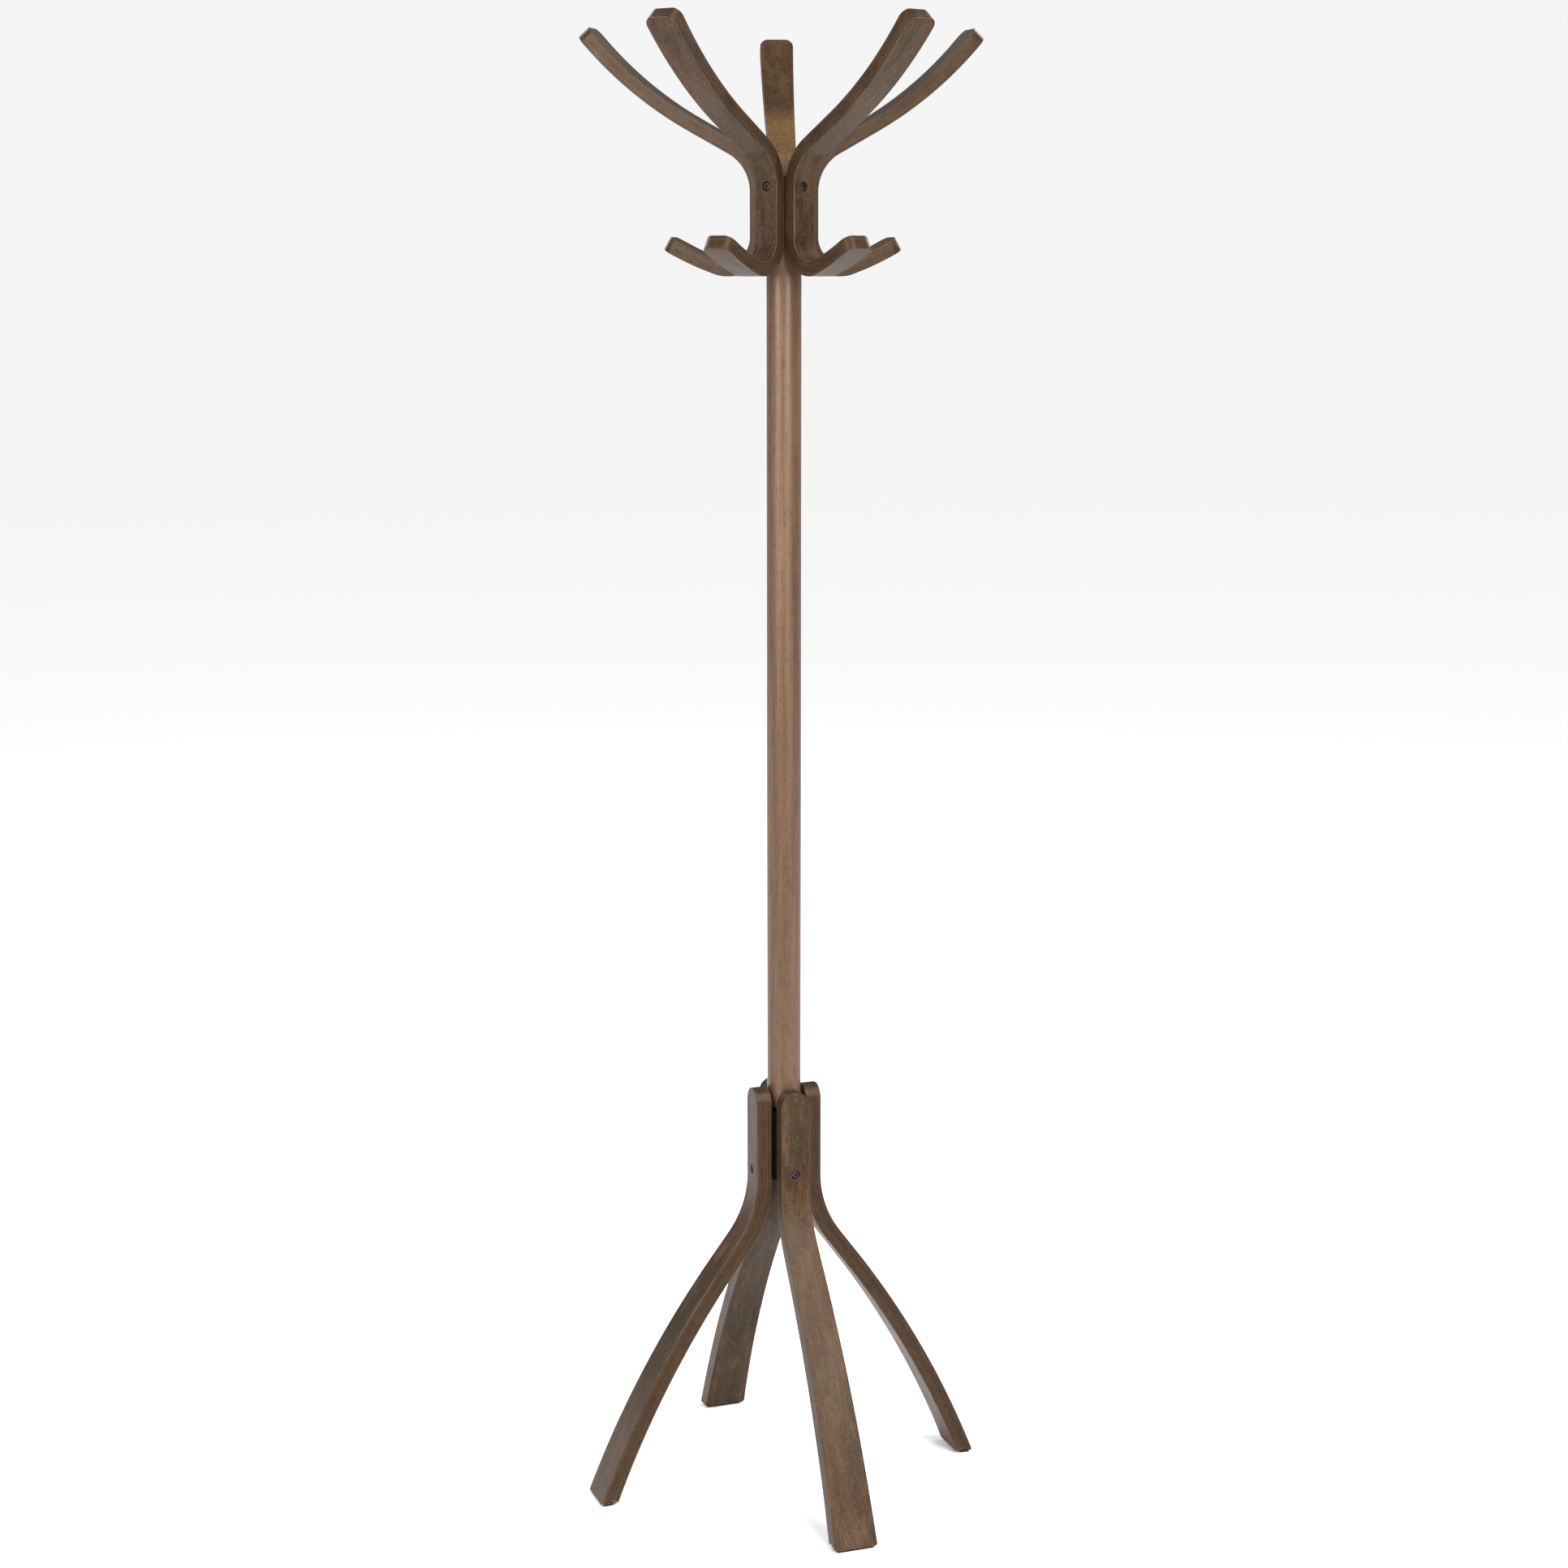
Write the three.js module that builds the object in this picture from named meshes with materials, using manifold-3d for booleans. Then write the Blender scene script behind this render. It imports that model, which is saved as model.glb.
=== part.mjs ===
// Standing coat rack: a round pole on four bent plywood legs, with five bent plywood arms round its
// head. Each arm carries an upper and a lower hook. Units are millimetres, +Z is up, and the origin
// is on the floor under the pole's axis. Azimuths run from -Y towards +X.

import * as THREE from 'three';
import { mergeVertices } from 'three/addons/utils/BufferGeometryUtils.js';
import Module from 'manifold-3d';

const wasm = await Module();
wasm.setup();

// ---------------------------------------------------------------- driving dimensions

const FIT = 0.3;                  // clearance left between two pieces that touch
const ROUND = 32;                 // sides of the pole
const SMALL_ROUND = 16;           // sides of bolts, inserts and dowels

const POLE = { radius: 20.3, bottom: 474, top: 1584, chamfer: 1.6 };

const ARM = {
  count: 5,
  firstAzimuth: 90,
  inside: POLE.radius + FIT,      // from the pole's axis to the arm's flat inner face
  thickness: 16.6,
  flatBottom: 1513,               // the straight stretch held against the pole
  flatTop: 1565,
  flatWidth: 29.5,
  upperTipWidth: 40.5,
  lowerTipWidth: 37,
  tipRadius: 12,                  // rounded corners of both tips, seen on the face
  upper: [                        // the arm's centreline upwards from the straight stretch
    { turn: -61.3, radius: 57 },
    { straight: 55 },
    { turn: 20.9, radius: 468 },
  ],
  lower: [                        // and downwards from it
    { turn: 109.8, radius: 36 },
    { straight: 5 },
    { turn: 10.2, radius: 353 },
  ],
  boltHeight: 1570,
  dowelHeight: 1532,
};

const LEG = {
  count: 4,
  firstAzimuth: 0,
  inside: 22,
  thickness: 19.5,
  top: 499,
  kneeHeight: 387,                // where the straight stretch ends and the leg bends outwards
  topWidth: 36,
  footWidth: 54,
  topRadius: 17.5,                // nearly half the width, so the top is an arch
  knee: { turn: 36.9, radius: 132.6 },
  shin: 37.5,                     // straight stretch below the knee
  sweepRadius: 1181,              // the long curve that brings the leg back towards upright
  boltHeight: 397,
  dowelHeight: 442,
};

const PAD = { thickness: 3, inset: 4 };

const HUB = { top: POLE.bottom - FIT, bottom: 386, halfWidth: LEG.inside - FIT, chamfer: 6, edge: 1 };

const BOLT = {
  headRadius: 4.9,
  headHeight: 3.6,
  shankRadius: 2.9,
  socketRadius: 2.2,
  socketDepth: 2.2,
  counterboreRadius: 5.3,
  recess: 1,                      // how far the head sits below the face
  holeRadius: 3.3,
};

const ARM_INSERT = { radius: 4.4, length: 12 };
const LEG_BOLT_GRIP = 12;         // thread length inside the hub
const DOWEL = { radius: 4, inHub: 9, inPanel: 9 };
const STUD = { radius: 5, inPole: 42, inHub: 30 };
const STUD_INSERT = { radius: 8, length: 45 };

// ---------------------------------------------------------------- materials

function finish(color, roughness, metalness = 0) {
  return new THREE.MeshStandardMaterial({ color, roughness, metalness });
}

const walnutPly = finish(0x4b3c30, 0.5);
const poleBeech = finish(0x6e5541, 0.45);
const plainBeech = finish(0xc9a878, 0.7);
const blackSteel = finish(0x1a1a1b, 0.4, 0.8);
const zincSteel = finish(0x9a9c9e, 0.35, 1);
const blackPaint = finish(0x121212, 0.55);
const blackRubber = finish(0x0e0e0e, 0.9);

// ---------------------------------------------------------------- solids

function toSolid(geometry) {
  const bare = geometry.clone();
  bare.deleteAttribute('normal');
  bare.deleteAttribute('uv');
  const merged = mergeVertices(bare, 1e-4);
  return new wasm.Manifold(new wasm.Mesh({
    numProp: 3,
    vertProperties: Float32Array.from(merged.attributes.position.array),
    triVerts: Uint32Array.from(merged.index.array),
  }));
}

function toGeometry(solid) {
  const mesh = solid.getMesh();
  const geometry = new THREE.BufferGeometry();
  geometry.setAttribute('position', new THREE.BufferAttribute(mesh.vertProperties, 3));
  geometry.setIndex(new THREE.BufferAttribute(mesh.triVerts, 1));
  const faceted = geometry.toNonIndexed();
  faceted.computeVertexNormals();
  return faceted;
}

function cut(geometry, cutters) {
  let solid = toSolid(geometry);
  for (const cutter of cutters) solid = solid.subtract(toSolid(cutter));
  return toGeometry(solid);
}

/** A round bar along X from start to end, at height z. Pieces are drawn pointing along +X. */
function barAlongX(radius, start, end, z, sides = SMALL_ROUND) {
  return new THREE.CylinderGeometry(radius, radius, end - start, sides)
    .rotateZ(-Math.PI / 2)
    .translate((start + end) / 2, 0, z);
}

/** A round bar along Z from bottom to top on the pole's axis. */
function barAlongZ(radius, bottom, top, sides = SMALL_ROUND) {
  return new THREE.CylinderGeometry(radius, radius, top - bottom, sides)
    .rotateX(Math.PI / 2)
    .translate(0, 0, (bottom + top) / 2);
}

// ---------------------------------------------------------------- bent strips

/**
 * Walks a centreline in the (r, z) plane and returns stations along it. Each has its place, its
 * heading in radians from +r, and its distance from the start. A positive turn is to the left.
 */
function walk(start, heading, pieces, arcStep) {
  const stations = [{ r: start.r, z: start.z, heading, distance: 0 }];
  let { r, z } = start;
  let distance = 0;
  for (const piece of pieces) {
    if (piece.straight) {
      r += piece.straight * Math.cos(heading);
      z += piece.straight * Math.sin(heading);
      distance += piece.straight;
      stations.push({ r, z, heading, distance });
      continue;
    }
    const turn = THREE.MathUtils.degToRad(piece.turn);
    const length = piece.radius * Math.abs(turn);
    const steps = Math.max(2, Math.ceil(Math.abs(piece.turn) / arcStep), Math.ceil(length / 35));
    const chord = 2 * piece.radius * Math.sin(Math.abs(turn) / steps / 2);
    for (let i = 0; i < steps; i++) {
      heading += turn / steps / 2;
      r += chord * Math.cos(heading);
      z += chord * Math.sin(heading);
      heading += turn / steps / 2;
      distance += length / steps;
      stations.push({ r, z, heading, distance });
    }
  }
  return stations;
}

/** The point on a walked centreline at a distance between its stations. */
function stationAt(stations, distance) {
  const after = Math.max(1, stations.findIndex((s) => s.distance >= distance - 1e-9));
  const [a, b] = [stations[after - 1], stations[after]];
  const t = (distance - a.distance) / (b.distance - a.distance);
  const blend = (key) => THREE.MathUtils.lerp(a[key], b[key], t);
  return { r: blend('r'), z: blend('z'), heading: blend('heading'), distance };
}

/** Adds the stations that a rounded end needs, so that its corners are drawn as arcs. */
function withRoundedEnds(stations, startRadius, endRadius) {
  const total = stations.at(-1).distance;
  const distances = stations.map((s) => s.distance);
  const arcSteps = 4;
  for (let i = 1; i <= arcSteps; i++) {
    const reach = 1 - Math.cos((i / arcSteps) * (Math.PI / 2));
    if (startRadius > 0) distances.push(startRadius * reach);
    if (endRadius > 0) distances.push(total - endRadius * reach);
  }
  const inOrder = distances
    .sort((a, b) => a - b)
    .filter((d, i, all) => i === 0 || d - all[i - 1] > 0.4);
  return inOrder.map((d) => stationAt(stations, d));
}

/** Half the strip's width after rounding its corners, `fromEnd` away from a rounded end. */
function roundedHalf(halfWidth, fromEnd, radius) {
  if (fromEnd >= radius) return halfWidth;
  const short = radius - fromEnd;
  return halfWidth - radius + Math.sqrt(Math.max(radius * radius - short * short, 0));
}

/**
 * A strip of plywood pressed along a centreline: a four-sided bar whose rings are set square to
 * the centreline. X is r, Y is across, Z is up.
 */
function bentStrip(stations, thickness, halfWidthAt) {
  const rings = stations.length - 1;
  const blank = new THREE.CylinderGeometry(1, 1, 1, 4, rings);
  const position = blank.attributes.position;
  for (let i = 0; i < position.count; i++) {
    const ring = Math.round((0.5 - position.getY(i)) * rings);
    const station = stations[ring];
    const x = position.getX(i);
    const z = position.getZ(i);
    const isCentre = Math.hypot(x, z) < 0.5;
    const corner = Math.floor((Math.atan2(z, x) / (2 * Math.PI) + 1) * 4 + 0.5) % 4;
    const side = [1, 1, -1, -1][corner];
    const face = [1, -1, -1, 1][corner];
    const across = isCentre ? 0 : side * halfWidthAt(station);
    const through = isCentre ? 0 : (face * thickness) / 2;
    const r = station.r + through * Math.sin(station.heading);
    const up = station.z - through * Math.cos(station.heading);
    position.setXYZ(i, r, across, up);
  }
  return blank;
}

/** How deep a counterbore is, so that a bolt's head clears its floor. */
const headDepth = BOLT.recess + BOLT.headHeight + FIT;

// ---------------------------------------------------------------- arms

const armCentre = ARM.inside + ARM.thickness / 2;
const armFace = ARM.inside + ARM.thickness;

function armStations() {
  const lower = walk({ r: armCentre, z: ARM.flatBottom }, -Math.PI / 2, ARM.lower, 9);
  const upper = walk({ r: armCentre, z: ARM.flatTop }, Math.PI / 2, ARM.upper, 9);
  const lowerLength = lower.at(-1).distance;
  const flat = ARM.flatTop - ARM.flatBottom;
  const reversed = lower.reverse().map((s) => ({
    ...s,
    heading: s.heading + Math.PI,
    distance: lowerLength - s.distance,
  }));
  const raised = upper.map((s) => ({ ...s, distance: s.distance + lowerLength + flat }));
  return { stations: [...reversed, ...raised], flatStart: lowerLength, flatEnd: lowerLength + flat };
}

function armGeometry() {
  const { stations, flatStart, flatEnd } = armStations();
  const total = stations.at(-1).distance;
  const widthAt = (distance) => {
    if (distance < flatStart) {
      return THREE.MathUtils.lerp(ARM.lowerTipWidth, ARM.flatWidth, distance / flatStart);
    }
    if (distance > flatEnd) {
      const along = (distance - flatEnd) / (total - flatEnd);
      return THREE.MathUtils.lerp(ARM.flatWidth, ARM.upperTipWidth, along);
    }
    return ARM.flatWidth;
  };
  const halfWidthAt = ({ distance }) => roundedHalf(
    widthAt(distance) / 2,
    Math.min(distance, total - distance),
    ARM.tipRadius,
  );
  const rounded = withRoundedEnds(stations, ARM.tipRadius, ARM.tipRadius);
  const strip = bentStrip(rounded, ARM.thickness, halfWidthAt);
  return cut(strip, [
    barAlongX(BOLT.holeRadius, ARM.inside - 5, armFace + 5, ARM.boltHeight),
    barAlongX(BOLT.counterboreRadius, armFace - headDepth, armFace + 9, ARM.boltHeight),
    barAlongX(DOWEL.radius + FIT, ARM.inside - 5, ARM.inside + DOWEL.inPanel + FIT, ARM.dowelHeight),
  ]);
}

// ---------------------------------------------------------------- legs

const legCentre = LEG.inside + LEG.thickness / 2;
const legFace = LEG.inside + LEG.thickness;

/** The leg's centreline, from its top down to a little below the floor. */
function legStations() {
  const shape = [
    { straight: LEG.top - LEG.kneeHeight },
    LEG.knee,
    { straight: LEG.shin },
  ];
  const above = walk({ r: legCentre, z: LEG.top }, -Math.PI / 2, shape, 9);
  const shinEnd = above.at(-1);
  const sweepTurn = -24;
  const sweep = walk(shinEnd, shinEnd.heading, [{ turn: sweepTurn, radius: LEG.sweepRadius }], 2);
  const rest = sweep.slice(1).map((s) => ({ ...s, distance: s.distance + shinEnd.distance }));
  return [...above, ...rest];
}

function legGeometry() {
  const stations = legStations();
  const floorStation = stations.find((s) => s.z <= 0);
  const straight = LEG.top - LEG.kneeHeight;
  const halfWidthAt = ({ distance }) => {
    const along = Math.max(0, distance - straight) / (floorStation.distance - straight);
    const width = THREE.MathUtils.lerp(LEG.topWidth, LEG.footWidth, along);
    return roundedHalf(width / 2, distance, LEG.topRadius);
  };
  const strip = bentStrip(withRoundedEnds(stations, LEG.topRadius, 0), LEG.thickness, halfWidthAt);
  const belowFoot = new THREE.BoxGeometry(400, 200, 400).translate(200, 0, PAD.thickness + FIT - 200);
  return cut(strip, [
    belowFoot,
    barAlongX(BOLT.holeRadius, LEG.inside - 5, legFace + 5, LEG.boltHeight),
    barAlongX(BOLT.counterboreRadius, legFace - headDepth, legFace + 9, LEG.boltHeight),
    barAlongX(DOWEL.radius + FIT, LEG.inside - 5, LEG.inside + DOWEL.inPanel + FIT, LEG.dowelHeight),
  ]);
}

/** A thin rubber pad under a foot, a little smaller than the foot all round. */
function padGeometry() {
  const stations = legStations();
  const after = stations.findIndex((s) => s.z <= 0);
  const [a, b] = [stations[after - 1], stations[after]];
  const t = a.z / (a.z - b.z);
  const r = THREE.MathUtils.lerp(a.r, b.r, t);
  const heading = THREE.MathUtils.lerp(a.heading, b.heading, t);
  const length = LEG.thickness / Math.abs(Math.sin(heading)) - 2 * PAD.inset;
  const width = LEG.footWidth - 2 * PAD.inset;
  const outline = new THREE.Shape();
  const corner = 2.5;
  outline.moveTo(-length / 2 + corner, -width / 2);
  outline.lineTo(length / 2 - corner, -width / 2);
  outline.absarc(length / 2 - corner, -width / 2 + corner, corner, -Math.PI / 2, 0);
  outline.absarc(length / 2 - corner, width / 2 - corner, corner, 0, Math.PI / 2);
  outline.absarc(-length / 2 + corner, width / 2 - corner, corner, Math.PI / 2, Math.PI);
  outline.absarc(-length / 2 + corner, -width / 2 + corner, corner, Math.PI, 1.5 * Math.PI);
  const extrusion = { depth: PAD.thickness, bevelEnabled: false, curveSegments: 3 };
  return new THREE.ExtrudeGeometry(outline, extrusion).translate(r, 0, 0);
}

// ---------------------------------------------------------------- bolts, inserts and dowels

/** A socket head bolt along X whose head ends `recess` below a face and whose tip is at `tip`. */
function boltGeometry(face, tip, z) {
  const headTop = face - BOLT.recess;
  const underHead = headTop - BOLT.headHeight;
  const edge = 0.7;
  const profile = [
    [0, tip],
    [BOLT.shankRadius - edge, tip],
    [BOLT.shankRadius, tip + edge],
    [BOLT.shankRadius, underHead],
    [BOLT.headRadius, underHead],
    [BOLT.headRadius, headTop - edge],
    [BOLT.headRadius - edge, headTop],
    [BOLT.socketRadius, headTop],
    [BOLT.socketRadius, headTop - BOLT.socketDepth],
    [0, headTop - BOLT.socketDepth],
  ].map(([radius, along]) => new THREE.Vector2(radius, along));
  return new THREE.LatheGeometry(profile, 12).rotateZ(-Math.PI / 2).translate(0, 0, z);
}

/** A threaded sleeve, closed at its inner end, that takes a bolt or stud along `along`. */
function sleeveProfile(outer, bore, closedEnd, openEnd, wall = 1.5) {
  return [
    [0, closedEnd],
    [outer, closedEnd],
    [outer, openEnd],
    [bore, openEnd],
    [bore, closedEnd + wall],
    [0, closedEnd + wall],
  ].map(([radius, along]) => new THREE.Vector2(radius, along));
}

const insertOpen = POLE.radius - 1;
const insertClosed = insertOpen - ARM_INSERT.length;

function armInsertGeometry() {
  const profile = sleeveProfile(ARM_INSERT.radius, BOLT.shankRadius + FIT, insertClosed, insertOpen);
  return new THREE.LatheGeometry(profile, 12).rotateZ(-Math.PI / 2).translate(0, 0, ARM.boltHeight);
}

function studInsertGeometry() {
  const open = POLE.bottom + 0.5;
  const closed = open + STUD_INSERT.length;
  const profile = sleeveProfile(STUD_INSERT.radius, STUD.radius + FIT, closed, open, -1.5);
  return new THREE.LatheGeometry(profile.reverse(), SMALL_ROUND).rotateX(Math.PI / 2);
}

// ---------------------------------------------------------------- pole and hub

const armAzimuths = azimuths(ARM.count, ARM.firstAzimuth);
const legAzimuths = azimuths(LEG.count, LEG.firstAzimuth);

function azimuths(count, first) {
  return Array.from({ length: count }, (unused, i) => first + (i * 360) / count);
}

/** Turns geometry drawn along +X so that it points to an azimuth. */
function turned(geometry, azimuth) {
  return geometry.clone().rotateZ(THREE.MathUtils.degToRad(azimuth - 90));
}

function poleGeometry() {
  const { radius, bottom, top, chamfer } = POLE;
  const profile = [
    [0, bottom],
    [radius - chamfer, bottom],
    [radius, bottom + chamfer],
    [radius, top - chamfer],
    [radius - chamfer, top],
    [0, top],
  ].map(([r, z]) => new THREE.Vector2(r, z));
  const bar = new THREE.LatheGeometry(profile, ROUND).rotateX(Math.PI / 2);
  const insertHole = barAlongX(
    ARM_INSERT.radius + FIT,
    insertClosed - FIT,
    POLE.radius + 3,
    ARM.boltHeight,
  );
  const dowelHole = barAlongX(
    DOWEL.radius + FIT,
    POLE.radius - DOWEL.inHub - FIT,
    POLE.radius + 3,
    ARM.dowelHeight,
  );
  const studHoleTop = bottom + 0.5 + STUD_INSERT.length + FIT;
  const studHole = barAlongZ(STUD_INSERT.radius + FIT, bottom - 3, studHoleTop);
  const sideHoles = armAzimuths.flatMap((azimuth) => [
    turned(insertHole, azimuth),
    turned(dowelHole, azimuth),
  ]);
  return cut(bar, [...sideHoles, studHole]);
}

/** The black block between the legs: square, with chamfered corners, bored for studs and bolts. */
function hubGeometry() {
  const { halfWidth, chamfer, edge, top, bottom } = HUB;
  const flat = halfWidth - chamfer;
  const outline = new THREE.Shape([
    [halfWidth, -flat], [halfWidth, flat], [flat, halfWidth], [-flat, halfWidth],
    [-halfWidth, flat], [-halfWidth, -flat], [-flat, -halfWidth], [flat, -halfWidth],
  ].map(([x, y]) => new THREE.Vector2(x, y)));
  const block = new THREE.ExtrudeGeometry(outline, {
    depth: top - bottom - 2 * edge,
    bevelThickness: edge,
    bevelSize: edge,
    bevelOffset: -edge,
    bevelSegments: 1,
  }).translate(0, 0, bottom + edge);
  const boltHole = barAlongX(
    BOLT.shankRadius + FIT,
    halfWidth - LEG_BOLT_GRIP - FIT,
    halfWidth + 3,
    LEG.boltHeight,
  );
  const dowelHole = barAlongX(
    DOWEL.radius + FIT,
    halfWidth - DOWEL.inHub - FIT,
    halfWidth + 3,
    LEG.dowelHeight,
  );
  const studHole = barAlongZ(STUD.radius + FIT, top - STUD.inHub - FIT, top + 3);
  const sideHoles = legAzimuths.flatMap((azimuth) => [
    turned(boltHole, azimuth),
    turned(dowelHole, azimuth),
  ]);
  return cut(block, [...sideHoles, studHole]);
}

// ---------------------------------------------------------------- assembly

const rack = new THREE.Group();

function add(name, geometry, material, parent = rack) {
  const mesh = new THREE.Mesh(geometry, material);
  mesh.name = name;
  parent.add(mesh);
}

/** A group turned about the pole's axis, for pieces drawn along +X. */
function spoke(azimuth) {
  const group = new THREE.Group();
  group.rotation.z = THREE.MathUtils.degToRad(azimuth - 90);
  rack.add(group);
  return group;
}

add('pole', poleGeometry(), poleBeech);
add('leg_hub', hubGeometry(), blackPaint);
add('pole_insert', studInsertGeometry(), zincSteel);
add('hub_stud', barAlongZ(STUD.radius, HUB.top - STUD.inHub, POLE.bottom + STUD.inPole), zincSteel);

const arm = armGeometry();
const armBolt = boltGeometry(armFace, insertClosed + 2.5, ARM.boltHeight);
const armInsert = armInsertGeometry();
const armDowel = barAlongX(
  DOWEL.radius,
  POLE.radius - DOWEL.inHub,
  ARM.inside + DOWEL.inPanel,
  ARM.dowelHeight,
);
armAzimuths.forEach((azimuth, i) => {
  const place = spoke(azimuth);
  add(`hook_arm_${i + 1}`, arm, walnutPly, place);
  add(`arm_bolt_${i + 1}`, armBolt, blackSteel, place);
  add(`arm_insert_${i + 1}`, armInsert, zincSteel, place);
  add(`arm_dowel_${i + 1}`, armDowel, plainBeech, place);
});

const leg = legGeometry();
const legBolt = boltGeometry(legFace, HUB.halfWidth - LEG_BOLT_GRIP, LEG.boltHeight);
const legDowel = barAlongX(
  DOWEL.radius,
  HUB.halfWidth - DOWEL.inHub,
  LEG.inside + DOWEL.inPanel,
  LEG.dowelHeight,
);
const pad = padGeometry();
legAzimuths.forEach((azimuth, i) => {
  const place = spoke(azimuth);
  add(`leg_${i + 1}`, leg, walnutPly, place);
  add(`leg_bolt_${i + 1}`, legBolt, blackSteel, place);
  add(`leg_dowel_${i + 1}`, legDowel, plainBeech, place);
  add(`foot_pad_${i + 1}`, pad, blackRubber, place);
});

export default rack;
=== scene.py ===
"""The fine model of a standing coat rack: a stained beech pole, four bent plywood legs and five
bent plywood arms with an upper and a lower hook each. Metres, +Z up, origin on the floor under the
pole. Azimuths run from -Y towards +X, as the camera's do. Long pieces are drawn pointing along +X."""

import math

import bmesh
import bpy
import numpy as np
from mathutils import Matrix, Vector


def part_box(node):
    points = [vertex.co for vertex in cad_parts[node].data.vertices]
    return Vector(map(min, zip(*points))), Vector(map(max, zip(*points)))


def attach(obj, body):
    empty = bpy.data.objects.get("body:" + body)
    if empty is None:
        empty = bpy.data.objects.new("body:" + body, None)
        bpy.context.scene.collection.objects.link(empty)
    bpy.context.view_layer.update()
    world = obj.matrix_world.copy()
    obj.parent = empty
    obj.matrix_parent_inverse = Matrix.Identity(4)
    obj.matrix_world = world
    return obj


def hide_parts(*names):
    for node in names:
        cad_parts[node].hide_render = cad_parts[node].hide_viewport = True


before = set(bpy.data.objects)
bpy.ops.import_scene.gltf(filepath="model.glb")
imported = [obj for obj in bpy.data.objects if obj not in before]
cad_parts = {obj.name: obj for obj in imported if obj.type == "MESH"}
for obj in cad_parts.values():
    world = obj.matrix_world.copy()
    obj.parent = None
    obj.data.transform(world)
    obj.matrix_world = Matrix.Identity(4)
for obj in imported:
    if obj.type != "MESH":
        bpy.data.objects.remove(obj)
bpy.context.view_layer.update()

MM = 0.001
FIT = 0.3 * MM  # clearance between pieces that touch

# ------------------------------------------------------------------ sizes

pole_low, pole_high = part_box("pole")
leg_low, leg_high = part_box("leg_1")
arm_bolt_low, arm_bolt_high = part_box("arm_bolt_1")
leg_bolt_low, leg_bolt_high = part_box("leg_bolt_2")

POLE_RADIUS = (pole_high.x - pole_low.x) / 2
POLE_BOTTOM, POLE_TOP = pole_low.z, pole_high.z
POLE_CHAMFER = 1.6 * MM

ARM_COUNT, ARM_FIRST_AZIMUTH = 5, 90
LEG_COUNT, LEG_FIRST_AZIMUTH = 4, 0

ARM_THICKNESS = 16.6 * MM
ARM_INSIDE = POLE_RADIUS + FIT  # from the pole's axis to the face held against the pole
ARM_FLAT = (1.513, 1.565)  # bottom and top of the stretch held against the pole
ARM_FLAT_WIDTH = 29.5 * MM
ARM_UPPER_TIP_WIDTH = 40.5 * MM
ARM_LOWER_TIP_WIDTH = 37 * MM
ARM_TIP_RADIUS = 12 * MM
# the curves past both ends of that stretch: (radius, turn in degrees), or (length, 0) for a straight
ARM_UPPER = [(57 * MM, -61.3), (55 * MM, 0), (468 * MM, 20.9)]
ARM_LOWER = [(36 * MM, 109.8), (5 * MM, 0), (353 * MM, 10.2)]

LEG_THICKNESS = 19.5 * MM
LEG_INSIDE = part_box("leg_hub")[1].x + FIT
LEG_TOP = leg_high.z
LEG_KNEE = 0.387  # height at which the straight top of the leg ends
LEG_TOP_WIDTH = 36 * MM
LEG_FOOT_WIDTH = 54 * MM
LEG_TOP_RADIUS = 17.5 * MM
# the leg's line from its top down, in the same form as the arms'
LEG_SHAPE = [(LEG_TOP - LEG_KNEE, 0), (132.6 * MM, 36.9), (37.5 * MM, 0), (1181 * MM, -24)]
FOOT_CUT = leg_low.z  # height of the level cut above the pad
FOOT_CORNER = 2.6 * MM
FOOT_EASE = 0.3 * MM

ARRIS = 1.3 * MM  # radius of the rubbed long edges
ARRIS_ZONE = 1.05 * ARRIS  # a point nearer than this to both faces is on a rounded edge
ARRIS_MIDDLE = 0.29 * ARRIS  # how far the middle of a rounded edge is from both faces
ARM_BACK_ARRIS = 0.5 * MM  # the arms' edges towards the pole are sharper, and nearly meet
ARM_BOLT_HEIGHT = (arm_bolt_low.z + arm_bolt_high.z) / 2
LEG_BOLT_HEIGHT = (leg_bolt_low.z + leg_bolt_high.z) / 2
ARM_DOWEL_HEIGHT, LEG_DOWEL_HEIGHT = 1.532, 0.442
DOWEL_RADIUS, DOWEL_DEPTH = 4 * MM, 9 * MM
BOLT_HEAD_RADIUS, BOLT_HEAD_HEIGHT, BOLT_RECESS = 4.9 * MM, 3.6 * MM, 1.0 * MM
BOLT_SHANK_RADIUS, BOLT_HOLE_RADIUS = 2.9 * MM, 3.3 * MM
BOLT_FLAT_RADIUS, BOLT_RIM, BOLT_TIP_CHAMFER = 3.4 * MM, 1.0 * MM, 0.7 * MM
SOCKET_RADIUS, SOCKET_DEPTH, SOCKET_FLARE = 2.1 * MM, 2.2 * MM, 0.35 * MM
COUNTERBORE_RADIUS, COUNTERBORE_EASE = 5.3 * MM, 0.5 * MM
ARM_INSERT_RADIUS, ARM_INSERT_REACH = 4.4 * MM, 13.3 * MM  # the hole's reach into the pole
STUD_INSERT_RADIUS = 8 * MM
EASED_EDGE = 0.35 * MM
PAST = 3 * MM  # how far a cutter stands out past the pole's surface

# ------------------------------------------------------------------ camera, floor and light

CAMERA_AZIMUTH = -20.3
CAMERA_DISTANCE = 3.40  # from the pole's axis, along the floor
CAMERA_HEIGHT = 1.471
CAMERA_AIM = 0.871  # height on the pole that the lens points at
CAMERA_LENS, SENSOR_WIDTH = 66.3, 36  # millimetres

FILL_STRENGTH = 0.22  # the world, as the object sees it
PAPER_STRENGTH = 0.91  # the world, as the camera sees it: the far floor's own brightness
FLOOR_COLOR = (0.97, 0.97, 0.965, 1)
FLOOR_HALF = 60.0
WHITE = (1.0, 1.0, 1.0, 1)


def at_azimuth(azimuth, distance, height):
    angle = math.radians(azimuth)
    return Vector((distance * math.sin(angle), -distance * math.cos(angle), height))


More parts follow.
